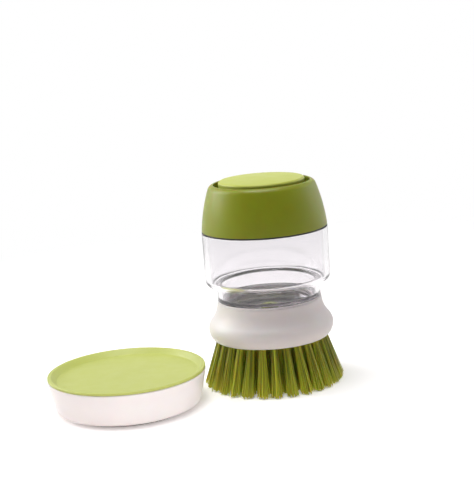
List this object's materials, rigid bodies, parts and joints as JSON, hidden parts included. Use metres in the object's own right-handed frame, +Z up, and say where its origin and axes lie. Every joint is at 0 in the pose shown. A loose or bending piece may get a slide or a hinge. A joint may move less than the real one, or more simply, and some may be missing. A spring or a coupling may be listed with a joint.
{
  "type": "soap dispensing dish brush with stand",
  "caption": "Round palm-held dish brush: bristle head, clear screw-off soap reservoir, sprung push button in a green cap, and a round drip stand with a lift-out tray.",
  "frame": {"origin": "on the brush's axis, in the plane of the bristle tips, which is the surface that the brush and its stand rest on", "axes": "+Z up along the brush's axis, towards the push button; the stand lies towards -X and a little towards -Y"},
  "size_m": [0.1421, 0.0972, 0.101],
  "materials": {
    "white_plastic": "satin moulded polypropylene",
    "bristle_nylon": "olive green crimp-free nylon filament",
    "anchor_wire": "flat galvanised wire",
    "green_silicone": "smooth green silicone",
    "clear_silicone": "milky silicone",
    "clear_plastic": "polished clear moulded plastic",
    "dark_rubber": "matt dark rubber",
    "green_soft_plastic": "soft-touch green, satin",
    "natural_plastic": "uncoloured moulded plastic",
    "spring_steel": "bright drawn stainless wire",
    "green_tray": "pale green satin, brighter rim"
  },
  "bodies": {
    "brush_head": {"head_collar": "white_plastic", "tuft_plate": "white_plastic", "bristles_outer": "bristle_nylon", "bristles_second": "bristle_nylon", "bristles_third": "bristle_nylon", "bristles_inner": "bristle_nylon", "tuft_anchors": "anchor_wire", "soap_valve": "green_silicone", "valve_retainer": "white_plastic"},
    "seal_ring": {"neck_seal": "clear_silicone"},
    "bottle": {"reservoir": "clear_plastic", "cap_gasket": "dark_rubber", "grip_cap": "green_soft_plastic", "pump_base": "natural_plastic", "pump_diaphragm": "clear_silicone", "diaphragm_ring": "natural_plastic", "air_valve": "green_silicone", "return_spring": "spring_steel"},
    "button": {"push_button": "green_soft_plastic", "button_stem": "natural_plastic", "stem_clip": "spring_steel"},
    "stand": {"stand_dish": "white_plastic", "stand_foot": "dark_rubber"},
    "tray": {"stand_tray": "green_tray"}
  },
  "joints": [
    {"name": "bottle_unscrew", "type": "hinge", "parent": "brush_head", "child": "seal_ring", "pos_m": [0, 0, 0.0332], "axis": [0, 0, 1], "range_deg": [0, 1080]},
    {"name": "bottle_rise", "type": "slide", "parent": "seal_ring", "child": "bottle", "axis": [0, 0, 1], "range_m": [0, 0.024]},
    {"name": "button_press", "type": "slide", "parent": "bottle", "child": "button", "axis": [0, 0, -1], "range_m": [0, 0.003], "stiffness_N_per_m": 300, "springref_m": -0.006, "deforming": ["return_spring", "pump_diaphragm"]},
    {"name": "stand_lift", "type": "slide", "parent": "brush_head", "child": "stand", "axis": [0, 0, 1], "range_m": [0, 0.08]},
    {"name": "tray_lift", "type": "slide", "parent": "stand", "child": "tray", "axis": [0, 0, 1], "range_m": [0, 0.02]}
  ],
  "couplings": [
    {"joint": "bottle_rise", "follows": "bottle_unscrew", "m_per_rad": 0.0012732}
  ]
}
